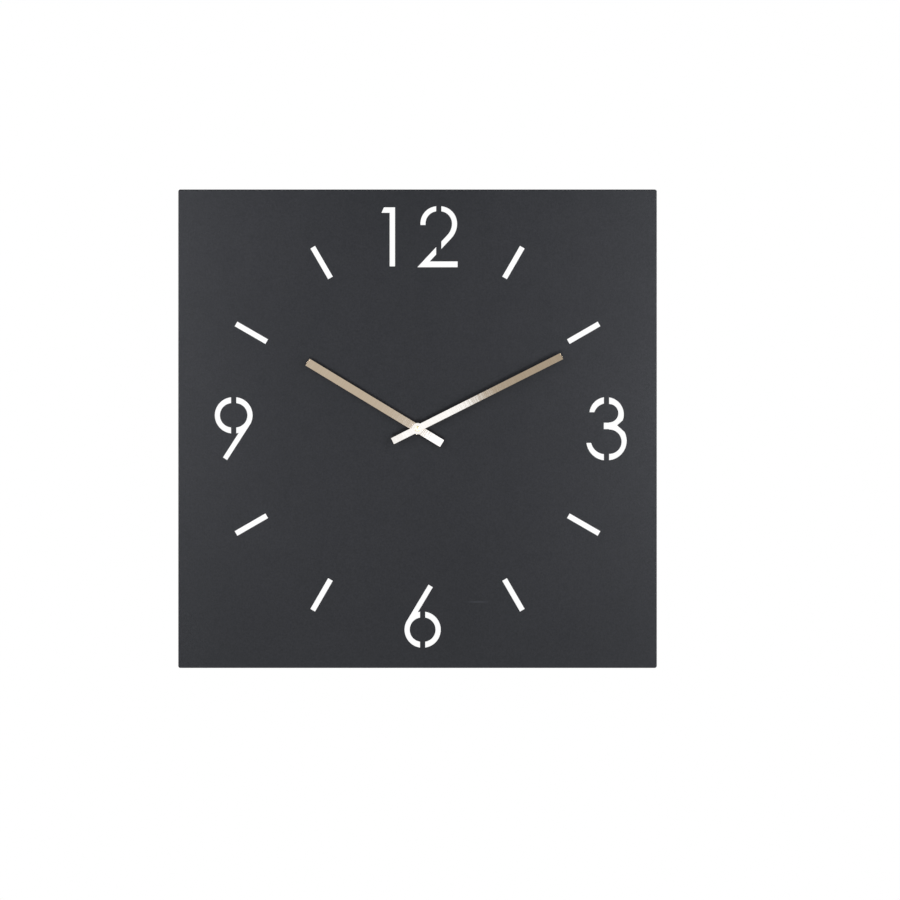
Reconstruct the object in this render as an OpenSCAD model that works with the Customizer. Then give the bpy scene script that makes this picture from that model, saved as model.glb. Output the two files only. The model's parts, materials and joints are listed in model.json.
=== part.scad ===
// Square wall clock: a folded sheet-steel tray with stencil numerals, two bar
// hands and a quartz movement behind the dial.
// Frame: X right, Z up, the dial faces -Y and the wall is at +Y. The origin is
// the middle of the whole clock, and the hand shaft runs along Y through it.

/* [Tray] */
// Width and height of the clock
side = 600; // [500:1:700]
// Depth of the tray from its face to the back of its lips
tray_depth = 19; // [19:0.5:20]
// Thickness of the steel sheet
sheet = 1.2; // [1:0.1:1.6]
// Radius of the upright corners of the tray
corner_r = 3; // [2.5:0.5:6]
// Outer radius of the fold round the face
fold_r = 2; // [1.6:0.1:2.4]
// Width of the lips folded in at the back
lip_w = 15; // [13:1:16]

/* [Dial] */
// Distance from the shaft to the middle of each hour bar
bar_ring = 240.5; // [220:0.5:245]
// Length of an hour bar
bar_l = 44.5; // [30:0.5:50]
// Width of an hour bar
bar_w = 6.7; // [5:0.1:10]
// Width of the stencil bridges in the numerals
bridge = 6.5; // [4:0.1:7]

/* [Hands] */
// Reach of the hour hand from the shaft
hour_reach = 161; // [120:1:165]
// Tail of the hour hand behind the shaft
hour_tail = 36; // [20:1:40]
// Width of the hour hand
hour_w = 10; // [9:0.5:12]
// Direction of the hour hand, clockwise from twelve
hour_angle = 301.2; // [0:0.1:360]
// Reach of the minute hand from the shaft
minute_reach = 202; // [150:1:205]
// Tail of the minute hand behind the shaft
minute_tail = 35; // [20:1:40]
// Width of the minute hand
minute_w = 8.4; // [7:0.2:10]
// Direction of the minute hand, clockwise from twelve
minute_angle = 63.3; // [0:0.1:360]
// Thickness of both hands
hand_t = 1.2; // [1:0.1:1.4]
// Radius of the round boss in the middle of each hand
boss_r = 7.1; // [6:0.1:8]

/* [Keyholes] */
// Distance of each keyhole from the middle of the clock
keyhole_x = 200; // [180:5:260]
// Height of the keyholes' entry holes above the shaft
keyhole_z = 270; // [268:1:271]
// Radius of the entry hole, for a screw head
keyhole_r = 5; // [4.5:0.5:5]

/* [Hidden] */
$fn = 96;
over = 1;              // how far a cut runs past the face it opens
fit = 0.05;            // radial clearance of everything that turns in a hole

// Colours
powder_black = [0.16, 0.16, 0.17];
pale_brass = [0.80, 0.73, 0.60];
brass = [0.78, 0.62, 0.30];
steel = [0.62, 0.63, 0.65];
felt_grey = [0.35, 0.35, 0.36];
black_plastic = [0.10, 0.10, 0.11];
white_plastic = [0.88, 0.88, 0.85];
copper = [0.72, 0.38, 0.20];
board_green = [0.10, 0.36, 0.20];

// Levels along Y, from the front of the clock to the wall
wall_y = 15;                         // the wall, and the back of the pads
lip_back = 14;                       // back of the lips
face_y = lip_back - tray_depth;      // front of the dial
dial_back = face_y + sheet;          // back of the dial
pad_r = 6;                           // radius of a felt pad
bracket_w = 40;                      // width of a hanger bracket
bracket_drop = 8;                    // bracket below its keyhole
keyhole_slot_r = 2.25;               // half the width of the neck slot
keyhole_rise = 9;                    // how far the neck slot rises

// Hand stack, back to front
thread_r = 4;                        // M8 bush
bush_front = -7.9;
hour_pipe_r = 2.5;
hour_pipe_front = -10.1;
hour_back = -8.7;                    // back of the hour hand
minute_back = -11.7;                 // back of the minute hand
hour_rivet_r = 3.3;                  // hole in the hour hand
minute_rivet_r = 2.4;                // hole in the minute hand
flange_t = 0.5;                      // flange of a collet, behind its hand
shaft_r = 1.5;                       // minute tube
shaft_front = -13.9;
cap_r = 3.4;
cap_front = -15;

// Movement case
case_w = 56;
case_wall = 1.2;
case_front = -2.5;
floor_y = case_front + case_wall;    // inner face of the front case
case_back = 10.6;                    // where the rear cover sits
room_w = case_w - 2 * case_wall;
partition_top = -10.6;               // wall between the train and the battery bay
partition_bottom = -11.6;

// Train: tooth counts and modules. Wheel and pinion pairs on one centre distance.
pinion_teeth = 8;
cannon_teeth = 10;
motion_teeth = 30;
hour_teeth = 32;
motion_m = 0.54;
centre_teeth = 64;
third_teeth = 60;
second_teeth = 48;
intermediate_teeth = 40;
third_distance = 10.2;
centre_m = 2 * third_distance / (pinion_teeth + centre_teeth);
third_m = 2 * third_distance / (pinion_teeth + third_teeth);
second_m = 0.36;
intermediate_m = 0.34;
motion_distance = motion_m * (cannon_teeth + motion_teeth) / 2;
intermediate_distance = second_m * (pinion_teeth + second_teeth) / 2;
rotor_distance = intermediate_m * (pinion_teeth + intermediate_teeth) / 2;

// Directions from the shaft to the third, motion and intermediate arbors, and
// from the intermediate arbor to the rotor, anticlockwise from +X
third_dir = 20;
motion_dir = 100;
intermediate_dir = 175;
rotor_dir = 120;
function polar(r, a) = [r * cos(a), r * sin(a)];
third_at = polar(third_distance, third_dir);
motion_at = polar(motion_distance, motion_dir);
intermediate_at = polar(intermediate_distance, intermediate_dir);
rotor_at = intermediate_at + polar(rotor_distance, rotor_dir);

arbor_r = 0.5;                       // thin wheel arbors
rotor_arbor_r = 0.35;
stem_r = 0.9;                        // setting stem
pivot_depth = 0.6;                   // blind pivot holes in the front case
plate_front = 7.6;                   // train plate
plate_back = 8.4;
pivot_back = 8.3;                    // rear ends of the pivots
knob_back = 14.2;                    // back of the knob's grip, under its disc
second_front = -6;                   // front end of the second arbor
rotor_front = 2.9;
magnet_r = 2.8;
stator_front = 6;
stator_back = 7;
coil_y = 7.5;                        // axis of the coil
coil_z = 22;
coil_left = -22;
coil_right = -8;
plate_posts = [[-21, -6.2], [21, -6.2], [21, 13.5], [-15, 14.8]];
stator_posts = [[-24.2, 20], [-5.8, 20]];
board_posts = [[-21, -6.2], [21, -6.2]];
board_front = 9;
board_back = 9.8;
contact_x = 26.2;                    // inner face of the battery contacts
contact_t = 0.4;
cell_r = 7.1;
cell_y = 6.1;
cell_z = -19;
cell_left = -24.4;
cell_right = 24.8;

// ---- Helpers: 2-D shapes are drawn in (x, z) as seen from the front ----

// Extrudes a 2-D shape from level y0 to level y1
module slab(y0, y1) {
    translate([0, y1, 0]) rotate([90, 0, 0]) linear_extrude(height = y1 - y0) children();
}

// A round bar along Y
module bar_y(y0, y1, r, at = [0, 0]) {
    slab(y0, y1) translate(at) circle(r = r);
}

// A tube along Y
module tube_y(y0, y1, r, bore, at = [0, 0]) {
    slab(y0, y1) translate(at) difference() {
        circle(r = r);
        circle(r = bore);
    }
}

// A rectangle given by its left, right, bottom and top
module box(left, right, bottom, top) {
    translate([left, bottom]) square([right - left, top - bottom]);
}

module disc(x, z, r) {
    translate([x, z]) circle(r = r);
}

// A square about the origin with rounded corners
module rounded_square(w, r) {
    square([w - 2 * r, w], center = true);
    square([w, w - 2 * r], center = true);
    for (sx = [-1, 1]) for (sz = [-1, 1]) disc(sx * (w / 2 - r), sz * (w / 2 - r), r);
}

// Outline of a spur gear with a tooth in direction 0: straight flanks, with the
// play that a clock train has
function gear_points(teeth, m) =
    let (pitch = 360 / teeth, root = m * (teeth / 2 - 1.15), tip = m * (teeth / 2 + 0.8))
    [for (i = [0 : teeth - 1]) for (p = [[root, -0.31], [tip, -0.1], [tip, 0.1], [root, 0.31]])
        polar(p[0], (i + p[1]) * pitch)];

// A gear of the train; "dir" is where its mate lies, and "gap" turns a gap there
module gear(teeth, m, dir, gap = false) {
    rotate(dir + (gap ? 180 / teeth : 0)) polygon(gear_points(teeth, m));
}

// ---- Numerals, drawn in dial coordinates ----

// Half of a ring: side is 1 for the right half and -1 for the left half. The
// eye inside it is a little wider than the ring is.
module half_ring(x, z, r_out, r_in, side, eye = 0) {
    intersection() {
        difference() {
            disc(x, z, r_out);
            disc(x + side * eye, z, r_in);
        }
        translate([side > 0 ? x : x - r_out, z - r_out]) square([r_out, 2 * r_out]);
    }
}

// Round numeral: a ring in two halves, "spread" apart from the middle, and a
// straight tail that leaves it at a tangent
module nine(x, z, spread = 1, tail_angle = 57.2) {
    r_out = 22.7;
    r_in = 15.3;
    eye = 0.9;
    tail_l = 52.2;
    tail_w = 6.3;
    lap = 0.05;                      // the tail starts this far inside the ring's edge
    difference() {
        union() {
            half_ring(x - spread, z, r_out, r_in, -1, eye);
            half_ring(x + spread, z, r_out, r_in, 1, eye);
            translate([x + spread, z]) rotate(tail_angle) box(-tail_l, 0, lap - r_out, tail_w - r_out);
        }
        // the bridges above and below the eye
        box(x - bridge / 2, x + bridge / 2, z, z + r_out + over);
        box(x - bridge / 2, x + bridge / 2, z - r_out - over, z);
    }
}

module six(x, z) {
    rotate(180) nine(-x, -z, 0, 59.1);
}

module one() {
    stem_left = -34.9;
    stem_right = -28.2;
    top = 277.5;
    flag_z = 270.6;
    box(stem_left, stem_right, 203.5, top);
    polygon([[stem_left, flag_z], [-45.2, flag_z], [-42.1, top], [stem_left, top]]);
}

module two() {
    bowl_x = 26.6;
    bowl_z = 257.1;
    spread = 1.1;
    r_out = 21.9;
    r_in = 15.5;
    shoulder = 5.1;                  // the right side widens by this below the bowl
    diagonal = 47;
    bottom = 202.4;
    base_h = 7.3;
    left = 0.1;
    right = 50.2;
    shoulder_x = bowl_x + spread - shoulder;
    difference() {
        union() {
            intersection() {
                union() {
                    half_ring(bowl_x - spread, bowl_z, r_out, r_in, -1);
                    half_ring(bowl_x + spread, bowl_z, r_out, r_in, 1);
                }
                // the left end stops just below the middle of the bowl
                union() {
                    box(0, 60, bowl_z, 290);
                    box(0, bowl_x, bowl_z - 1.8, 290);
                }
            }
            intersection() {
                half_ring(shoulder_x, bowl_z, r_out + shoulder, r_in + shoulder, 1);
                translate([shoulder_x, bowl_z]) rotate(diagonal) box(0, 40, -40, 40);
                box(bowl_x, 60, 220, bowl_z);
            }
            intersection() {
                translate([shoulder_x, bowl_z]) rotate(diagonal)
                    box(-70, 0, -r_out - shoulder, -r_in - shoulder);
                box(left - 5, 60, bottom, bowl_z);
            }
            polygon([[left, bottom], [right, bottom], [right, bottom + base_h],
                [left + base_h / tan(diagonal), bottom + base_h]]);
        }
        box(bowl_x - bridge / 2, bowl_x + bridge / 2, bottom + base_h, 290);
    }
}

module three() {
    waist = 4.3;                     // height of the notch between the bowls
    bridge_left = 233.6;
    bridge_right = bridge_left + bridge;
    far_right = 263.8;
    // right side: two bowls that meet at the waist
    difference() {
        union() {
            intersection() {
                disc(237, 17.9, 21.6);
                box(bridge_right, far_right, waist, 45);
            }
            intersection() {
                disc(237.8, -15.2, 24.4);
                box(bridge_right, far_right, -45, waist);
            }
        }
        disc(240.1, 19.4, 11.6);
        disc(240.5, -16.3, 15.3);
        polygon([[250.2, waist], [far_right, waist + 12.1], [far_right, waist - 12.3]]);
    }
    // middle bar
    box(233.5, bridge_right + 2, -0.5, 7.5);
    // upper left end
    difference() {
        intersection() {
            disc(237.1, 17.9, 21.8);
            box(210, bridge_left, 20.7, 45);
        }
        disc(237.5, 15.2, 16.8);
    }
    // lower left end
    difference() {
        intersection() {
            disc(236.3, -15, 24.7);
            box(205, bridge_left, -45, -17.8);
        }
        disc(235.4, -13.8, 18.2);
    }
}

module hour_bars() {
    for (hour = [1 : 11]) if (hour % 3 != 0)
        rotate(-30 * hour) box(-bar_w / 2, bar_w / 2, bar_ring - bar_l / 2, bar_ring + bar_l / 2);
}

module cut_outs() {
    one();
    two();
    three();
    six(6.4, -251.9);
    nine(-230.45, 16.8);
    hour_bars();
    circle(r = thread_r + 0.1);
}

// ---- Case and dial ----

// Tray section across the face, with the folds at its front corners
module fold_section() {
    translate([-side / 2, face_y + fold_r]) square([side, tray_depth - fold_r]);
    translate([fold_r - side / 2, face_y]) square([side - 2 * fold_r, tray_depth]);
    for (s = [-1, 1]) disc(s * (side / 2 - fold_r), face_y + fold_r, fold_r);
}

module dial_tray() {
    color(powder_black) difference() {
        intersection() {
            slab(face_y, lip_back) rounded_square(side, corner_r);
            translate([0, 0, -side / 2]) linear_extrude(height = side) fold_section();
            rotate([0, 90, 0]) translate([0, 0, -side / 2])
                linear_extrude(height = side) fold_section();
        }
        slab(dial_back, lip_back - sheet) rounded_square(side - 2 * sheet, corner_r - sheet);
        slab(dial_back, lip_back + over) square(side - 2 * (sheet + lip_w), center = true);
        slab(face_y - over, dial_back + over) cut_outs();
    }
}

module hanger_bracket(x) {
    back = lip_back - sheet - 0.5;
    top = side / 2 - sheet;
    color(steel) difference() {
        translate([x - bracket_w / 2, 0, 0]) {
            translate([0, back - sheet, keyhole_z - bracket_drop])
                cube([bracket_w, sheet, top - keyhole_z + bracket_drop]);
            translate([0, 0, top - sheet]) cube([bracket_w, back, sheet]);
        }
        slab(back - sheet - over, back + over) translate([x, keyhole_z]) {
            circle(r = keyhole_r);
            box(-keyhole_slot_r, keyhole_slot_r, 0, keyhole_rise);
            disc(0, keyhole_rise, keyhole_slot_r);
        }
    }
}

module wall_pads() {
    at = side / 2 - sheet - lip_w / 2;
    color(felt_grey) for (sx = [-1, 1]) for (sz = [-1, 1]) bar_y(lip_back, wall_y, pad_r, [sx * at, sz * at]);
}

// ---- Hands ----

module hand(angle, w, reach, tail, back, hole_r) {
    slab(back - hand_t, back) rotate(-angle) difference() {
        union() {
            box(-w / 2, w / 2, -tail, reach);
            circle(r = boss_r);
        }
        circle(r = hole_r);
    }
}

module hour_hand() {
    color(pale_brass) hand(hour_angle, hour_w, hour_reach, hour_tail, hour_back, hour_rivet_r);
}

module minute_hand() {
    color(pale_brass) hand(minute_angle, minute_w, minute_reach, minute_tail, minute_back, minute_rivet_r);
}

// Collar riveted into a hand, with a flange behind it
module collet(front, hand_back, back, bore, rivet_r, flange_r) {
    color(brass) {
        tube_y(front, back, rivet_r, bore);
        tube_y(hand_back, hand_back + flange_t, flange_r, bore);
    }
}

module hour_hand_collet() {
    collet(hour_back - hand_t, hour_back, hour_back + flange_t, hour_pipe_r, hour_rivet_r, 4.4);
}

module minute_hand_collet() {
    collet(minute_back - hand_t, minute_back, minute_back + 1.2, shaft_r, minute_rivet_r, 3.8);
}

module cap_nut() {
    dome_h = 1.3;
    dome_r = (cap_r * cap_r + dome_h * dome_h) / (2 * dome_h);
    color(pale_brass) difference() {
        intersection() {
            bar_y(cap_front, minute_back - hand_t, cap_r);
            translate([0, cap_front + dome_r, 0]) sphere(r = dome_r);
        }
        bar_y(shaft_front - 0.1, minute_back - hand_t + over, shaft_r);
    }
}

// ---- Fixing of the movement ----

module fixing_nut() {
    flats = 10;
    color(brass) slab(bush_front + 0.3, face_y - 0.5) difference() {
        circle(r = flats / sqrt(3), $fn = 6);
        circle(r = thread_r);
    }
}

module brass_washer() {
    color(brass) tube_y(face_y - 0.5, face_y, 7, thread_r + 0.15);
}

module rubber_washer() {
    color(black_plastic) tube_y(dial_back, case_front, 10, 5.7);
}

module threaded_bush() {
    color(brass) {
        tube_y(bush_front, case_front - 0.5, thread_r, hour_pipe_r + fit);
        tube_y(case_front - 0.5, case_front, 5.5, hour_pipe_r + fit);
        tube_y(case_front, floor_y, 4.5, hour_pipe_r + fit);
    }
}

// ---- Movement case ----

module movement_front_case() {
    half = room_w / 2;
    color(black_plastic) difference() {
        union() {
            difference() {
                slab(case_front, case_back) rounded_square(case_w, 3);
                slab(floor_y, case_back + over) {
                    box(-half, half, partition_top, half);
                    box(-half, half, -half, partition_bottom);
                }
            }
            for (at = plate_posts) bar_y(floor_y, plate_front, 1.4, at);
            for (at = stator_posts) bar_y(floor_y, stator_front, 1.2, at);
            bar_y(floor_y, rotor_front + 0.7, 1.5, rotor_at);
        }
        bar_y(case_front - over, floor_y + over, 4.5);
        bar_y(floor_y - pivot_depth, floor_y + over, arbor_r + fit, third_at);
        bar_y(floor_y - pivot_depth, floor_y + over, arbor_r + fit, intermediate_at);
        bar_y(floor_y - pivot_depth, floor_y + over, stem_r + fit, motion_at);
        bar_y(rotor_front - 0.1, rotor_front + over, rotor_arbor_r + fit, rotor_at);
        // slots that let the battery contacts through the partition
        for (s = [-1, 1]) slab(board_front - 0.3, case_back + over) {
            box(s * half - (s > 0 ? 0.9 : 0), s * half + (s > 0 ? 0 : 0.9), partition_bottom - 0.1,
                partition_top + 0.1);
        }
    }
}

module movement_rear_cover() {
    lip = room_w / 2 - 0.1;
    color(black_plastic) difference() {
        union() {
            slab(case_back, case_back + case_wall) intersection() {
                rounded_square(case_w, 3);
                box(-case_w / 2, case_w / 2, partition_bottom, case_w / 2);
            }
            slab(case_back - 0.6, case_back) difference() {
                box(-lip, lip, partition_top + 0.1, lip);
                box(1 - lip, lip - 1, partition_top + 1.1, lip - 1);
            }
        }
        bar_y(case_back - over, case_back + case_wall + over, stem_r + fit, motion_at);
    }
}

module train_plate() {
    color(white_plastic) difference() {
        union() {
            slab(plate_front, plate_back) box(-23, 23, -8.2, 16.6);
            for (at = board_posts) bar_y(plate_back, board_front, 1.5, at);
        }
        for (at = [[0, 0], third_at, intermediate_at]) {
            bar_y(plate_front - over, plate_back + over, arbor_r + fit, at);
        }
        bar_y(plate_front - over, plate_back + over, rotor_arbor_r + fit, rotor_at);
        bar_y(plate_front - over, plate_back + over, stem_r + 0.4, motion_at);
    }
}

// ---- Hand-setting train ----

module centre_arbor() {
    color(brass) difference() {
        union() {
            bar_y(shaft_front, 2.2, shaft_r);
            slab(0, 1.1) gear(cannon_teeth, motion_m, motion_dir);
        }
        bar_y(second_front - 0.5, 2.2 + over, arbor_r + fit);
    }
}

module hour_wheel() {
    color(brass) difference() {
        union() {
            bar_y(hour_pipe_front, -1, hour_pipe_r);
            slab(-1, -0.2) gear(hour_teeth, motion_m, motion_dir);
        }
        bar_y(hour_pipe_front - over, over, shaft_r + fit);
    }
}

module motion_wheel() {
    color(white_plastic) {
        bar_y(floor_y - pivot_depth + 0.1, knob_back, stem_r, motion_at);
        slab(-1.1, 0.2) translate(motion_at) gear(pinion_teeth, motion_m, motion_dir + 180, true);
        slab(0.2, 0.9) translate(motion_at) gear(motion_teeth, motion_m, motion_dir + 180, true);
    }
}

module setting_knob() {
    knurls = 24;
    knurl_m = 0.4;
    disc_r = 4.2;
    color(white_plastic) {
        slab(case_back + case_wall + 0.3, knob_back) translate(motion_at) difference() {
            polygon(gear_points(knurls, knurl_m));
            circle(r = stem_r);
        }
        bar_y(knob_back, knob_back + 0.4, disc_r, motion_at);
    }
}

// ---- Going train ----

module centre_wheel() {
    color(brass) slab(1.4, 1.9) difference() {
        gear(centre_teeth, centre_m, third_dir);
        circle(r = shaft_r + fit);
    }
}

// Arbor with its pinion and, behind it, its wheel
module wheel_and_pinion(at, front, pinion_front, wheel_front, pinion_m, pinion_dir, teeth, wheel_m, wheel_dir) {
    translate([at[0], 0, at[1]]) {
        bar_y(front, pivot_back, arbor_r);
        slab(pinion_front, wheel_front) gear(pinion_teeth, pinion_m, pinion_dir, true);
        slab(wheel_front, wheel_front + 0.5) gear(teeth, wheel_m, wheel_dir);
    }
}

module third_wheel() {
    color(white_plastic) wheel_and_pinion(third_at, floor_y - pivot_depth + 0.1, 1.2, 2.5,
        centre_m, third_dir + 180, third_teeth, third_m, third_dir + 180);
}

module second_wheel() {
    color(white_plastic) wheel_and_pinion([0, 0], second_front, 2.35, 3.5,
        third_m, third_dir, second_teeth, second_m, intermediate_dir);
}

module intermediate_wheel() {
    color(white_plastic) wheel_and_pinion(intermediate_at, floor_y - pivot_depth + 0.1, 3.3, 4.5,
        second_m, intermediate_dir + 180, intermediate_teeth, intermediate_m, rotor_dir);
}

module rotor_pinion() {
    color(white_plastic) {
        bar_y(rotor_front, pivot_back, rotor_arbor_r, rotor_at);
        slab(4.3, 5.4) translate(rotor_at) gear(pinion_teeth, intermediate_m, rotor_dir + 180, true);
    }
}

module rotor_magnet() {
    color(steel) tube_y(5.6, 7.2, magnet_r, rotor_arbor_r, rotor_at);
}

// ---- Motor, electronics and battery ----

module stator() {
    left = -26;
    right = -4;
    arm_w = 3.5;
    arm_top = 24;
    bar_bottom = rotor_at[1] - 4.4;
    color(steel) slab(stator_front, stator_back) difference() {
        union() {
            box(left, right, bar_bottom, rotor_at[1] + 4.4);
            box(left, left + arm_w, bar_bottom, arm_top);
            box(right - arm_w, right, bar_bottom, arm_top);
        }
        translate(rotor_at) circle(r = magnet_r + 0.3);
    }
}

module coil_core() {
    color(steel) slab(stator_back, stator_back + 1) box(-26, -4, coil_z - 1.5, coil_z + 1.5);
}

// A round bar along X about the coil's axis
module bar_x(x0, x1, r) {
    translate([x0, coil_y, coil_z]) rotate([0, 90, 0]) cylinder(r = r, h = x1 - x0);
}

module coil_bobbin() {
    flange = 0.8;
    color(white_plastic) difference() {
        union() {
            bar_x(coil_left, coil_right, 1.9);
            bar_x(coil_left, coil_left + flange, 2.9);
            bar_x(coil_right - flange, coil_right, 2.9);
        }
        slab(stator_back, stator_back + 1) box(-26, -4, coil_z - 1.5, coil_z + 1.5);
    }
}

module coil_winding() {
    color(copper) difference() {
        bar_x(coil_left + 0.8, coil_right - 0.8, 2.7);
        bar_x(coil_left, coil_right, 1.9);
    }
}

module circuit_board() {
    color(board_green) slab(board_front, board_back) box(-contact_x, contact_x, -10.2, 0);
}

module quartz_crystal() {
    can_r = 0.9;
    color(steel) translate([8, board_front - can_r, -9.3]) rotate([0, 90, 0]) cylinder(r = can_r, h = 6);
}

module clock_chip() {
    color(black_plastic) bar_y(board_back, board_back + 0.6, 3, [-6, -5]);
}

module battery_contact_positive() {
    color(steel) {
        slab(0, board_back) box(contact_x, contact_x + contact_t, -23, -15);
        slab(board_front, board_back) box(contact_x, contact_x + contact_t, -15, -2);
    }
}

// Bent leaf that presses on the flat end of the cell
module battery_contact_negative() {
    bulge = 1.6;
    root = -contact_x;
    tip = root + bulge;
    color(steel) {
        slab(1, board_back) polygon([[root - contact_t, -23], [root, -23], [tip, -19.5], [tip, -18.5],
            [root, -15], [root - contact_t, -15], [tip - contact_t, -18.7], [tip - contact_t, -19.3]]);
        slab(board_front, board_back) box(root - contact_t, root, -15, -2);
    }
}

module battery_can() {
    color(copper) translate([cell_left, cell_y, cell_z]) rotate([0, 90, 0])
        cylinder(r = cell_r, h = cell_right - cell_left);
}

module battery_cap() {
    color(steel) translate([cell_right, cell_y, cell_z]) rotate([0, 90, 0]) cylinder(r = 2.7, h = 1.2);
}

dial_tray();
hanger_bracket(-keyhole_x);  // hanger_bracket_left
hanger_bracket(keyhole_x);  // hanger_bracket_right
wall_pads();
hour_hand();
hour_hand_collet();
minute_hand();
minute_hand_collet();
cap_nut();
fixing_nut();
brass_washer();
rubber_washer();
threaded_bush();
movement_front_case();
movement_rear_cover();
train_plate();
centre_arbor();
hour_wheel();
motion_wheel();
setting_knob();
centre_wheel();
third_wheel();
second_wheel();
intermediate_wheel();
rotor_pinion();
rotor_magnet();
stator();
coil_core();
coil_bobbin();
coil_winding();
circuit_board();
quartz_crystal();
clock_chip();
battery_contact_positive();
battery_contact_negative();
battery_can();
battery_cap();
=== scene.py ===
"""Looks of the square wall clock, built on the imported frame."""
import json
import math

import bmesh
import bpy
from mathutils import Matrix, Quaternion, Vector


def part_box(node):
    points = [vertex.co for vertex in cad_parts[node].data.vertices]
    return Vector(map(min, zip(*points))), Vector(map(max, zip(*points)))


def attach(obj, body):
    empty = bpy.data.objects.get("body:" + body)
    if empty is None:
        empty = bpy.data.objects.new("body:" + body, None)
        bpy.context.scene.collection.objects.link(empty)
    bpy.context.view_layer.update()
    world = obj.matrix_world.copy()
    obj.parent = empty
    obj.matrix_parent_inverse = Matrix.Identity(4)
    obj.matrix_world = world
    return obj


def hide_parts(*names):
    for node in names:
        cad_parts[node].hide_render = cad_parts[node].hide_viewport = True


MM = 0.001
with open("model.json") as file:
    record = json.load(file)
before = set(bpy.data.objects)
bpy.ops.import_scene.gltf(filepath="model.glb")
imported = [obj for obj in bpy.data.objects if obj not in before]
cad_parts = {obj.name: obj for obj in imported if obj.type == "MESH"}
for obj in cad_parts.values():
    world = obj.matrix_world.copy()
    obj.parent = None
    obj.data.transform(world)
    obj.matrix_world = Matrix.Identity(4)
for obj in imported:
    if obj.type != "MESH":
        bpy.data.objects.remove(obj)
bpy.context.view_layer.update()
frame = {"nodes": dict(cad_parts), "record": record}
record = frame["record"]
node_slot = {part["node"]: part["material_slot"] for part in record["subparts"]}
node_body = {node: body for body, nodes in record["behaviour"]["bodies"].items() for node in nodes}


# ---- Materials ----

class Paint:
    """A node material on one Principled shader, with textures in the object's own coordinates."""

    def __init__(self, name, metallic=0.0, roughness=0.5, specular=0.5):
        self.material = bpy.data.materials.new(name)
        self.material.use_nodes = True
        self.tree = self.material.node_tree
        self.shader = self.tree.nodes["Principled BSDF"]
        self.shader.inputs["Metallic"].default_value = metallic
        self.shader.inputs["Roughness"].default_value = roughness
        self.shader.inputs["Specular IOR Level"].default_value = specular
        self.place = self.tree.nodes.new("ShaderNodeTexCoord").outputs["Object"]
        self.normal = None

    def node(self, kind, **inputs):
        made = self.tree.nodes.new(kind)
        for socket, value in inputs.items():
            self.feed(made.inputs[socket.replace("_", " ")], value)
        return made

    def feed(self, socket, value):
        if isinstance(value, bpy.types.NodeSocket):
            self.tree.links.new(value, socket)
        else:
            socket.default_value = value

    def turned(self, angle):
        """Coordinates turned about Y, so that Z runs along a hand that points at this clock angle."""
        return self.node("ShaderNodeMapping", Vector=self.place, Rotation=(0, -angle, 0)).outputs[0]

    def stretched(self, place, scale):
        return self.node("ShaderNodeMapping", Vector=place, Scale=scale).outputs[0]

    def noise(self, scale, detail=2.0, place=None, rough=0.5):
        made = self.node("ShaderNodeTexNoise", Vector=place or self.place, Scale=scale,
                         Detail=detail, Roughness=rough)
        return made.outputs["Fac"]

    def span(self, value, low, high, start=0.3, end=0.7):
        """Maps a value from start..end to low..high."""
        made = self.node("ShaderNodeMapRange", Value=value)
        made.inputs["From Min"].default_value = start
        made.inputs["From Max"].default_value = end
        made.inputs["To Min"].default_value = low
        made.inputs["To Max"].default_value = high
        return made.outputs[0]

    def mix(self, fac, one, two):
        made = self.tree.nodes.new("ShaderNodeMix")
        made.data_type = "RGBA"
        self.feed(made.inputs[0], fac)
        self.feed(made.inputs[6], (*one, 1) if isinstance(one, tuple) else one)
        self.feed(made.inputs[7], (*two, 1) if isinstance(two, tuple) else two)
        return made.outputs[2]

    def colour(self, value):
        self.feed(self.shader.inputs["Base Color"], (*value, 1) if isinstance(value, tuple) else value)

    def roughness(self, value):
        self.feed(self.shader.inputs["Roughness"], value)

    def bump(self, height, depth, strength=1.0):
        made = self.node("ShaderNodeBump", Height=height, Strength=strength, Distance=depth)
        if self.normal:
            self.feed(made.inputs["Normal"], self.normal)
        self.normal = made.outputs["Normal"]
        self.feed(self.shader.inputs["Normal"], self.normal)


def powder_coat():
    p = Paint("powder_coat", roughness=0.52, specular=0.07)
    cloud = p.noise(5.0, 3.0)
    grain = p.noise(520.0, 4.0, rough=0.7)
    base = p.mix(p.span(cloud, 0.0, 1.0), (0.0114, 0.0120, 0.0140), (0.0131, 0.0137, 0.0159))
    coat = p.mix(p.span(grain, 0.0, 0.60), base, (0.0044, 0.0050, 0.0059))
    # one short rub mark on the dial's face, low down and right of the six
    spot = (75.4 * MM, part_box("dial_tray")[0].y, -217.1 * MM)
    reach = (16 * MM, 0.6 * MM, 1.5 * MM)
    mark = p.node("ShaderNodeMapping", Vector=p.place, Scale=tuple(1 / r for r in reach),
                  Location=tuple(-s / r for s, r in zip(spot, reach)))
    away = p.node("ShaderNodeVectorMath", Vector=mark.outputs[0])
    away.operation = "LENGTH"
    p.colour(p.mix(p.span(away.outputs["Value"], 0.55, 0.0, 0.5, 1.0), coat, (0.0185, 0.0195, 0.0235)))
    p.roughness(p.span(p.noise(40.0, 4.0), 0.46, 0.58))
    p.bump(p.noise(450.0, 2.0), 0.00010)
    p.bump(p.noise(2400.0, 2.0), 0.00002)
    p.bump(grain, 0.00006)
    return p.material


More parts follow.
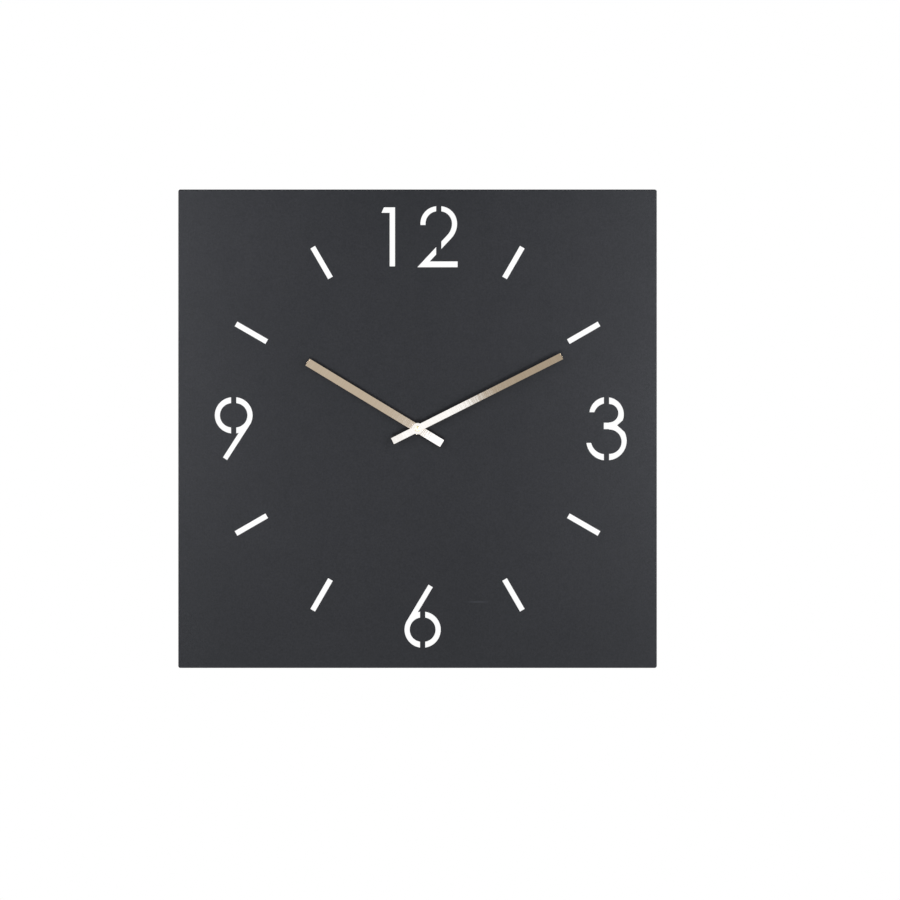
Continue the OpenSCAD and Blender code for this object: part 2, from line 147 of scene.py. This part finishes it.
def brushed(name, colour, dark, angle, bow):
    """Metal brushed across a hand that points at this clock angle, and tilted by a slight bow along it."""
    p = Paint(name, metallic=1.0, roughness=0.045)
    along = p.turned(angle)
    fine = p.noise(1.0, 4.0, p.stretched(along, (60, 60, 2600)), 0.6)
    streak = p.noise(1.0, 2.0, p.stretched(along, (25, 25, 420)), 0.5)
    broad = p.noise(1.0, 3.0, p.stretched(along, (12, 12, 160)), 0.5)
    tone = p.mix(p.span(fine, 0.0, 1.0), dark, colour)
    p.colour(p.mix(p.span(broad, 0.0, 0.35), tone, dark))
    # brushing across the hand spreads its highlights along the hand
    spread = p.node("ShaderNodeVectorTransform", Vector=(math.sin(angle), 0, math.cos(angle)))
    spread.vector_type = "VECTOR"
    spread.convert_from = "OBJECT"
    spread.convert_to = "WORLD"
    p.shader.inputs["Anisotropic"].default_value = 0.75
    p.feed(p.shader.inputs["Tangent"], spread.outputs[0])
    p.roughness(p.span(streak, 0.055, 0.040))
    place = p.node("ShaderNodeSeparateXYZ", Vector=along).outputs
    lean = p.node("ShaderNodeMath", Value=place["Z"])
    lean.operation = "MULTIPLY"
    lean.inputs[1].default_value = bow
    p.bump(lean.outputs[0], 1.0)
    p.bump(streak, 0.000010)
    return p.material


def turned_metal(name, colour, rough, scale=900.0):
    """Turned or stamped metal, with faint stains and fine tool marks."""
    p = Paint(name, metallic=1.0, roughness=rough)
    stain = p.noise(90.0, 4.0)
    marks = p.noise(1.0, 3.0, p.stretched(p.place, (scale * 0.15, scale * 4, scale * 0.15)))
    worn = tuple(c * 0.72 for c in colour)
    p.colour(p.mix(p.span(stain, 0.0, 1.0), worn, colour))
    p.roughness(p.span(marks, rough - 0.06, rough + 0.12))
    p.bump(marks, 0.00002, 0.5)
    return p.material


def rolled_metal(name, colour, rough):
    """Plated sheet or strip with rolling lines and a soft spangle."""
    p = Paint(name, metallic=1.0, roughness=rough)
    lines = p.noise(1.0, 4.0, p.stretched(p.place, (40, 900, 900)))
    spangle = p.noise(260.0, 3.0)
    p.colour(p.mix(p.span(spangle, 0.0, 1.0), tuple(c * 0.8 for c in colour), colour))
    p.roughness(p.span(lines, rough - 0.05, rough + 0.12))
    p.bump(lines, 0.00002, 0.5)
    return p.material


def moulded(name, colour, rough, grain=1400.0, depth=0.00004):
    """Moulded plastic or rubber with a spark-eroded texture."""
    p = Paint(name, roughness=rough, specular=0.45)
    cloud = p.noise(60.0, 3.0)
    texture = p.noise(grain, 3.0)
    p.colour(p.mix(p.span(cloud, 0.0, 1.0), tuple(c * 0.86 for c in colour), colour))
    p.roughness(p.span(texture, rough - 0.07, rough + 0.09))
    p.bump(texture, depth)
    return p.material


def felt():
    p = Paint("felt", roughness=0.95, specular=0.2)
    fibres = p.noise(1.0, 5.0, p.stretched(p.place, (1800, 2600, 900)), 0.7)
    clumps = p.noise(500.0, 3.0)
    p.shader.inputs["Sheen Weight"].default_value = 0.5
    p.shader.inputs["Sheen Roughness"].default_value = 0.6
    p.colour(p.mix(p.span(fibres, 0.0, 1.0), (0.045, 0.045, 0.050), (0.15, 0.15, 0.16)))
    p.bump(clumps, 0.0004, 0.7)
    p.bump(fibres, 0.0002, 0.8)
    return p.material


def board():
    """Solder mask over copper tracks, which show as slightly raised paler lines."""
    p = Paint("board", roughness=0.35)
    tracks = p.node("ShaderNodeTexVoronoi", Vector=p.stretched(p.place, (260, 1, 260)), Scale=1.0)
    tracks.feature = "DISTANCE_TO_EDGE"
    line = p.span(tracks.outputs["Distance"], 1.0, 0.0, 0.05, 0.09)
    p.colour(p.mix(line, (0.012, 0.085, 0.032), (0.05, 0.23, 0.085)))
    p.roughness(p.span(p.noise(700.0), 0.28, 0.42))
    p.bump(line, 0.00004)
    return p.material


def sleeve():
    """Plain printed sleeve of a cell: a dark body with a paler band at its positive end."""
    p = Paint("sleeve", metallic=0.6, roughness=0.34)
    split = p.node("ShaderNodeSeparateXYZ", Vector=p.place).outputs["X"]
    band = p.span(split, 0.0, 1.0, 0.0138, 0.0140)
    base = p.mix(p.span(p.noise(220.0, 3.0), 0.0, 1.0), (0.020, 0.024, 0.032), (0.030, 0.035, 0.045))
    p.colour(p.mix(band, base, (0.42, 0.43, 0.45)))
    p.roughness(p.span(p.noise(500.0, 4.0), 0.28, 0.42))
    p.bump(p.noise(180.0, 2.0), 0.00006)
    return p.material


def hand_angle(node):
    """Clock angle of a hand at rest, from the far corner of its box."""
    low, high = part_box(node)
    x = high.x if high.x > -low.x else low.x
    z = high.z if high.z > -low.z else low.z
    return math.atan2(x, z)


paints = {
    "black_powder_coat": powder_coat(),
    "zinc_steel": rolled_metal("zinc_steel", (0.60, 0.61, 0.63), 0.36),
    "felt": felt(),
    "turned_brass": turned_metal("turned_brass", (0.80, 0.60, 0.27), 0.26),
    "polished_brass": turned_metal("polished_brass", (0.88, 0.79, 0.50), 0.42),
    "black_rubber": moulded("black_rubber", (0.022, 0.022, 0.022), 0.72),
    "black_plastic": moulded("black_plastic", (0.020, 0.020, 0.022), 0.48),
    "white_plastic": moulded("white_plastic", (0.60, 0.59, 0.55), 0.42, 1800.0, 0.00003),
    "magnet": turned_metal("magnet", (0.22, 0.22, 0.23), 0.48),
    "soft_iron": rolled_metal("soft_iron", (0.50, 0.50, 0.52), 0.38),
    "copper_wire": turned_metal("copper_wire", (0.72, 0.30, 0.13), 0.30),
    "green_board": board(),
    "bright_can": rolled_metal("bright_can", (0.78, 0.78, 0.80), 0.20),
    "black_resin": moulded("black_resin", (0.012, 0.012, 0.013), 0.22, 900.0, 0.00002),
    "nickel_strip": rolled_metal("nickel_strip", (0.70, 0.68, 0.63), 0.28),
    "cell_wrap": sleeve(),
}
hour_bow = -0.0078
minute_bow = 0.0
# the minute hand gets darker copies of the hour hand's brass colours: painted shade standing in for the
# dimmer reflection of the same metal
hand_paints = {
    "hour_hand": brushed("brushed_hour", (0.86, 0.72, 0.555), (0.75, 0.605, 0.44),
                         hand_angle("hour_hand"), hour_bow),
    "minute_hand": brushed("brushed_minute_painted_shade", (0.68, 0.555, 0.41), (0.56, 0.44, 0.305),
                           hand_angle("minute_hand"), minute_bow),
}
for node, thing in frame["nodes"].items():
    thing.data.materials.clear()
    thing.data.materials.append(hand_paints.get(node) or paints[node_slot[node]])


# ---- Geometry helpers ----

def show(name, mesh, node, replaces=True, smooth=True):
    """Puts a mesh in the scene as a piece on a node's body, in the node's finish."""
    piece = bpy.data.objects.new(name, mesh)
    bpy.context.scene.collection.objects.link(piece)
    if smooth:
        for face in mesh.polygons:
            face.use_smooth = True
    mesh.materials.clear()
    mesh.materials.append(hand_paints.get(node) or paints[node_slot[node]])
    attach(piece, node_body[node])
    if replaces:
        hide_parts(node)
    return piece


def round_edges(piece, width, segments=2, angle=28):
    bevel = piece.modifiers.new("edges", "BEVEL")
    bevel.width = width
    bevel.segments = segments
    bevel.limit_method = "ANGLE"
    bevel.angle_limit = math.radians(angle)
    bevel.miter_outer = "MITER_ARC"
    weight = piece.modifiers.new("flat", "WEIGHTED_NORMAL")
    weight.keep_sharp = True
    return piece


def refine(node, width, segments=2):
    """Stands for a CAD node: its own shape with merged faces and rounded edges."""
    source = frame["nodes"][node].data
    mesh = bpy.data.meshes.new(node + "_fine")
    mesh.from_pydata([v.co for v in source.vertices], [], [tuple(p.vertices) for p in source.polygons])
    work = bmesh.new()
    work.from_mesh(mesh)
    bmesh.ops.remove_doubles(work, verts=work.verts, dist=1e-6)
    bmesh.ops.dissolve_limit(work, angle_limit=math.radians(0.4), verts=work.verts, edges=work.edges)
    work.to_mesh(mesh)
    work.free()
    return round_edges(show(node + "_fine", mesh, node), width, segments)


def lathe(profile, origin, axis, steps=64):
    """Closed surface of revolution from (distance along the axis, radius) pairs.

    A profile that starts and ends away from the axis makes a tube.
    """
    work = bmesh.new()
    along = Vector(axis)
    side = Vector((1, 0, 0)) if abs(along.z) > 0.5 else Vector((0, 0, 1))
    other = along.cross(side)
    rings = []
    for distance, radius in profile:
        middle = Vector(origin) + along * distance
        if radius == 0:
            rings.append([work.verts.new(middle)])
            continue
        rings.append([
            work.verts.new(middle + side * (radius * math.cos(math.tau * i / steps))
                           + other * (radius * math.sin(math.tau * i / steps)))
            for i in range(steps)])
    pairs = list(zip(rings, rings[1:]))
    if profile[0][1] and profile[-1][1]:
        pairs.append((rings[-1], rings[0]))
    for low, high in pairs:
        for i in range(steps):
            quad = [low[i % len(low)], low[(i + 1) % steps % len(low)],
                    high[(i + 1) % steps % len(high)], high[i % len(high)]]
            work.faces.new(dict.fromkeys(quad))
    bmesh.ops.recalc_face_normals(work, faces=work.faces)
    mesh = bpy.data.meshes.new("lathe")
    work.to_mesh(mesh)
    work.free()
    return mesh


def prism(outline, y0, y1):
    """Closed plate with an outline of (x, z) points."""
    work = bmesh.new()
    near = [work.verts.new((x, y0, z)) for x, z in outline]
    far = [work.verts.new((x, y1, z)) for x, z in outline]
    work.faces.new(near)
    work.faces.new(far)
    for i in range(len(outline)):
        work.faces.new((near[i - 1], near[i], far[i], far[i - 1]))
    bmesh.ops.recalc_face_normals(work, faces=work.faces)
    mesh = bpy.data.meshes.new("prism")
    work.to_mesh(mesh)
    work.free()
    return mesh


def bead(path, radius, closed=False, sides=12):
    """Closed round bead along points that lie in one plane across Y."""
    work = bmesh.new()
    count = len(path)
    rings = []
    for i, point in enumerate(path):
        back = path[i - 1] if closed or i else path[i]
        ahead = path[(i + 1) % count] if closed or i < count - 1 else path[i]
        run = (Vector(ahead) - Vector(point)).normalized() + (Vector(point) - Vector(back)).normalized()
        side = run.normalized().cross(Vector((0, 1, 0)))
        rings.append([
            work.verts.new(Vector(point) + side * (radius * math.cos(math.tau * k / sides))
                           + Vector((0, radius * math.sin(math.tau * k / sides), 0)))
            for k in range(sides)])
    pairs = list(zip(rings, rings[1:]))
    if closed:
        pairs.append((rings[-1], rings[0]))
    else:
        work.faces.new(rings[0])
        work.faces.new(rings[-1])
    for one, two in pairs:
        for k in range(sides):
            work.faces.new((one[k - 1], one[k], two[k], two[k - 1]))
    bmesh.ops.recalc_face_normals(work, faces=work.faces)
    mesh = bpy.data.meshes.new("bead")
    work.to_mesh(mesh)
    work.free()
    return mesh


# ---- Pieces ----

edge_width_mm = {
    "dial_tray": 0.06, "hanger_bracket_left": 0.25, "hanger_bracket_right": 0.25, "wall_pads": 0.25,
    "hour_hand": 0.08, "minute_hand": 0.08, "hour_hand_collet": 0.08, "minute_hand_collet": 0.08,
    "fixing_nut": 0.35, "brass_washer": 0.12, "rubber_washer": 0.3, "threaded_bush": 0.08,
    "movement_front_case": 0.25, "movement_rear_cover": 0.25, "train_plate": 0.15, "centre_arbor": 0.05,
    "hour_wheel": 0.05, "motion_wheel": 0.05, "setting_knob": 0.12, "centre_wheel": 0.04,
    "third_wheel": 0.04, "second_wheel": 0.04, "intermediate_wheel": 0.04, "rotor_pinion": 0.04,
    "rotor_magnet": 0.15, "stator": 0.1, "coil_core": 0.1, "coil_bobbin": 0.12, "circuit_board": 0.06,
    "battery_contact_positive": 0.08, "battery_contact_negative": 0.08,
}
fine = {node: refine(node, width * MM) for node, width in edge_width_mm.items()}
# the hands reflect sharply, so their flat faces keep flat normals right up to the rounded edges
for node in hand_paints:
    fine[node].modifiers["edges"].harden_normals = True
    fine[node].modifiers.remove(fine[node].modifiers["flat"])

sheet = 1.2 * MM
lip_w = 15 * MM


def turned(name, node, axis, profile, steps):
    """Stands for a node: a turned shape along the middle of its box, from the end where the axis starts."""
    low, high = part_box(node)
    spot = (low + high) / 2
    for k in range(3):
        if axis[k]:
            spot[k] = low[k] if axis[k] > 0 else high[k]
    return show(name, lathe(profile, spot, axis, steps), node)


def length_and_radius(node):
    """Length along X and radius of a round node that lies along X."""
    low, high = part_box(node)
    return high.x - low.x, (high.z - low.z) / 2


def cap_dome():
    """Domed cap on the minute arbor: a short wall with a part of a ball on it."""
    low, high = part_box("cap_nut")
    radius = (high.x - low.x) / 2
    depth = high.y - low.y
    chamfer = 0.15 * MM
    rise = 1.3 * MM
    wall = depth - rise - 0.08 * MM
    ball_r = (radius ** 2 + rise ** 2) / (2 * rise)
    edge = math.asin(radius / ball_r)
    steps = 15
    profile = [(0, 0), (0, radius - chamfer), (chamfer, radius), (wall, radius)]
    for i in range(1, steps):
        angle = edge * (1 - i / steps)
        profile.append((depth - ball_r * (1 - math.cos(angle)), ball_r * math.sin(angle)))
    profile.append((depth, 0))
    turned("cap_dome", "cap_nut", (0, -1, 0), profile, 72)


def coil_turns():
    """Wire turns on the coil, as ripples with four points each."""
    length, radius = length_and_radius("coil_winding")
    inner_r = 1.9 * MM
    groove = 0.06 * MM
    steps = 4 * 48
    profile = [(0, inner_r)]
    for i in range(steps + 1):
        wave = math.sin(math.tau * i / 4 - math.pi / 2)
        profile.append((length * i / steps, radius - groove * (1 - wave) / 2))
    profile.append((length, inner_r))
    turned("coil_turns", "coil_winding", (1, 0, 0), profile, 40)


def cell_sleeve():
    """The cell: its sleeve is shrunk over the rims of both ends."""
    length, radius = length_and_radius("battery_can")
    dent = 0.25 * MM
    step = 0.3 * MM
    profile = [
        (dent, 0), (dent, radius - 1.5 * MM), (0, radius - 1.4 * MM), (0, radius - 0.6 * MM),
        (0.2 * MM, radius - 0.15 * MM), (0.7 * MM, radius), (length - 0.9 * MM, radius),
        (length - step, radius - 0.2 * MM), (length, radius - 0.7 * MM), (length, radius - 1.6 * MM),
        (length - step, radius - 1.8 * MM), (length - step, 0)]
    turned("cell_sleeve", "battery_can", (1, 0, 0), profile, 96)


def cell_nub():
    """The raised cap of the cell, on a small flange sunk in the sleeve's end."""
    length, radius = length_and_radius("battery_cap")
    sunk = -0.3 * MM
    profile = [
        (sunk, 0), (sunk, radius + 0.5 * MM), (0.1 * MM, radius + 0.2 * MM), (0.3 * MM, radius),
        (length - 0.4 * MM, radius - 0.05 * MM), (length - 0.1 * MM, radius - 0.3 * MM),
        (length, radius - 0.6 * MM), (length, 0)]
    turned("cell_nub", "battery_cap", (1, 0, 0), profile, 64)


def crystal_can():
    """Crystal can with a crimped foot and a rounded end."""
    length, radius = length_and_radius("quartz_crystal")
    profile = [
        (0, 0), (0, radius * 0.7), (0.1 * MM, radius * 0.82), (0.3 * MM, radius * 0.84),
        (0.4 * MM, radius), (length - 0.35 * MM, radius), (length - 0.1 * MM, radius * 0.85),
        (length, radius * 0.55), (length, 0)]
    turned("crystal_can", "quartz_crystal", (1, 0, 0), profile, 32)


def resin_drop():
    """Drop of resin over the clock chip."""
    low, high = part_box("clock_chip")
    radius = (high.x - low.x) / 2
    height = high.y - low.y
    steps = 8
    profile = [(0, 0), (0, radius)]
    for i in range(1, steps):
        angle = math.pi / 2 * i / steps
        profile.append((height * math.sin(angle), radius * math.cos(angle)))
    profile.append((height, 0))
    turned("resin_drop", "clock_chip", (0, 1, 0), profile, 40)


def lip_welds():
    """Welded and ground mitres where the lips meet."""
    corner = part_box("dial_tray")[1]
    start = 1.6 * MM
    run = lip_w + sheet - 2.0 * MM
    level = corner.y - 0.32 * MM
    steps = 24
    for sx in (-1, 1):
        for sz in (-1, 1):
            path = []
            for i in range(steps + 1):
                inset = start + run * i / steps
                ripple = 0.08 * MM * math.sin(i * 2.4 + sx + 2 * sz)
                path.append((sx * (corner.x - inset + ripple), level, sz * (corner.z - inset - ripple)))
            show("lip_weld", bead(path, 0.5 * MM), "dial_tray", replaces=False)


def weld_nuggets():
    """Two weld nuggets that hold each hanger bracket's flange to the top of the tray."""
    from_end = 8 * MM
    profile = [(-0.05 * MM, 0), (-0.05 * MM, 2.6 * MM), (0.22 * MM, 2.2 * MM), (0.20 * MM, 1.6 * MM),
               (0.04 * MM, 1.1 * MM), (0.02 * MM, 0)]
    for node in ("hanger_bracket_left", "hanger_bracket_right"):
        low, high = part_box(node)
        for x in (low.x + from_end, high.x - from_end):
            spot = (x, (low.y + high.y) / 2, high.z - sheet)
            show("weld_nugget", lathe(profile, spot, (0, 0, -1), 32), node, replaces=False)


def cover_frame():
    """Raised frame moulded round the rear cover."""
    low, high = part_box("movement_rear_cover")
    inset = 2.6 * MM
    corner = 2.0 * MM
    level = high.y - 0.25 * MM
    path = []
    for sx, sz, start in ((1, 1, 0), (-1, 1, 90), (-1, -1, 180), (1, -1, 270)):
        middle_x = (high.x if sx > 0 else low.x) - sx * (inset + corner)
        middle_z = (high.z if sz > 0 else low.z) - sz * (inset + corner)
        for i in range(7):
            angle = math.radians(start + 15 * i)
            path.append((middle_x + corner * math.cos(angle), level, middle_z + corner * math.sin(angle)))
    show("cover_frame", bead(path, 0.45 * MM, closed=True), "movement_rear_cover", replaces=False)


def knob_ring():
    """Raised ring moulded on the rear cover round the setting knob."""
    low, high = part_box("setting_knob")
    middle = (low + high) / 2
    radius = (high.x - low.x) / 2 + 2.2 * MM
    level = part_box("movement_rear_cover")[1].y - 0.25 * MM
    steps = 72
    path = []
    for i in range(steps):
        angle = math.tau * i / steps
        path.append((middle.x + radius * math.cos(angle), level, middle.z + radius * math.sin(angle)))
    show("knob_ring", bead(path, 0.4 * MM, closed=True), "movement_rear_cover", replaces=False)


def polarity_marks():
    """Raised plus and minus on the rear cover, above the ends of the cell."""
    low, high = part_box("movement_rear_cover")
    arm = 1.7 * MM
    half = 0.4 * MM
    from_side = 5.6 * MM
    z = low.z + 4.8 * MM
    plus = [(half, half), (half, arm), (-half, arm), (-half, half), (-arm, half), (-arm, -half),
            (-half, -half), (-half, -arm), (half, -arm), (half, -half), (arm, -half), (arm, half)]
    minus = [(arm, half), (-arm, half), (-arm, -half), (arm, -half)]
    marks = (("plus_mark", plus, high.x - from_side), ("minus_mark", minus, low.x + from_side))
    for name, outline, x in marks:
        mesh = prism([(x + px, z + pz) for px, pz in outline], high.y - 0.1 * MM, high.y + 0.25 * MM)
        mark = show(name, mesh, "movement_rear_cover", replaces=False, smooth=False)
        round_edges(mark, 0.06 * MM)


cap_dome()
coil_turns()
cell_sleeve()
cell_nub()
crystal_can()
resin_drop()
lip_welds()
weld_nuggets()
cover_frame()
knob_ring()
polarity_marks()


# ---- Floor, light and camera ----

def plane(name, size, at):
    mesh = bpy.data.meshes.new(name)
    h = size / 2
    mesh.from_pydata([(-h, -h, 0), (h, -h, 0), (h, h, 0), (-h, h, 0)], [], [(0, 1, 2, 3)])
    made = bpy.data.objects.new(name, mesh)
    bpy.context.scene.collection.objects.link(made)
    made.location = at
    return made


def stage():
    floor = plane("floor", 6.0, (0, 0, -1.3))
    p = Paint("floor_paint", roughness=0.9, specular=0.1)
    p.colour(p.mix(p.noise(3.0), (0.92, 0.92, 0.92), (0.95, 0.95, 0.95)))
    far = p.node("ShaderNodeVectorMath", Vector=p.place)
    far.operation = "LENGTH"
    p.feed(p.shader.inputs["Alpha"], p.span(far.outputs["Value"], 1.0, 0.0, 1.2, 2.9))
    floor.data.materials.append(p.material)
    floor.visible_shadow = False


def area_light(name, at, target, width, height, radiance, turn=0.0, tint=(1, 1, 1)):
    """A soft box of even brightness, in units of the backdrop's white; turn rolls it about its own axis."""
    data = bpy.data.lights.new(name, "AREA")
    data.shape = "RECTANGLE"
    data.size = width
    data.size_y = height
    data.energy = radiance * math.pi * width * height
    data.color = tint
    lamp = bpy.data.objects.new(name, data)
    bpy.context.scene.collection.objects.link(lamp)
    lamp.location = at
    lamp.rotation_mode = "QUATERNION"
    aim = (Vector(target) - Vector(at)).to_track_quat("-Z", "Y")
    lamp.rotation_quaternion = aim @ Quaternion((0, 0, 1), turn)
    lamp.visible_camera = False
    return lamp


def studio():
    """White room: pure white behind the clock, and a little dimmer as a light on it."""
    world = bpy.data.worlds.new("studio")
    world.use_nodes = True
    bpy.context.scene.world = world
    tree = world.node_tree
    back = tree.nodes["Background"]
    room = tree.nodes.new("ShaderNodeBackground")
    room.inputs["Strength"].default_value = 0.62
    back.inputs["Color"].default_value = (1, 1, 1, 1)
    room.inputs["Color"].default_value = (1, 1, 1, 1)
    back.inputs["Strength"].default_value = 1.0
    rays = tree.nodes.new("ShaderNodeLightPath")
    mix = tree.nodes.new("ShaderNodeMixShader")
    tree.links.new(rays.outputs["Is Camera Ray"], mix.inputs[0])
    tree.links.new(room.outputs[0], mix.inputs[1])
    tree.links.new(back.outputs[0], mix.inputs[2])
    tree.links.new(mix.outputs[0], tree.nodes["World Output"].inputs["Surface"])
    area_light("left_strip", (-0.52, -0.40, 0.20), (-0.30, 0, 0.20), 0.10, 0.85, 23.5)
    area_light("right_strip", (0.52, -0.40, 0.14), (0.30, 0, 0.14), 0.10, 0.85, 25.5)
    area_light("front_low", (-0.88, -11.4, -7.7), (0, 0, 0), 3.5, 2.64, 70.0)
    # the small box behind the camera that whitens the middle of the hands
    turn = math.pi / 2 - hand_angle("minute_hand")
    glow_x, glow_z = -0.0178, 0.0418
    area_light("hub_glow", (glow_x, -4.30, glow_z), (glow_x, 0, glow_z), 0.278, 0.086, 2.15,
               turn, (0.49, 0.66, 1.0))
    # soft boxes behind the clock, which light its back only
    area_light("back_key", (-1.5, 2.4, 1.5), (0, 0, 0), 1.2, 1.2, 11.0)
    area_light("back_fill", (1.6, 2.4, 0.4), (0, 0, 0), 0.9, 1.4, 5.0)


def camera():
    data = bpy.data.cameras.new("camera")
    data.sensor_width = 36
    distance = 4.0
    across = 1.1280
    data.lens = 36 * distance / across
    data.clip_end = 100
    eye = bpy.data.objects.new("camera", data)
    bpy.context.scene.collection.objects.link(eye)
    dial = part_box("dial_tray")[0].y
    eye.location = (0.0407, dial - distance, -0.0267)
    eye.rotation_euler = (math.pi / 2, 0, 0)
    bpy.context.scene.camera = eye


stage()
studio()
camera()
bpy.context.scene.view_settings.view_transform = "Standard"
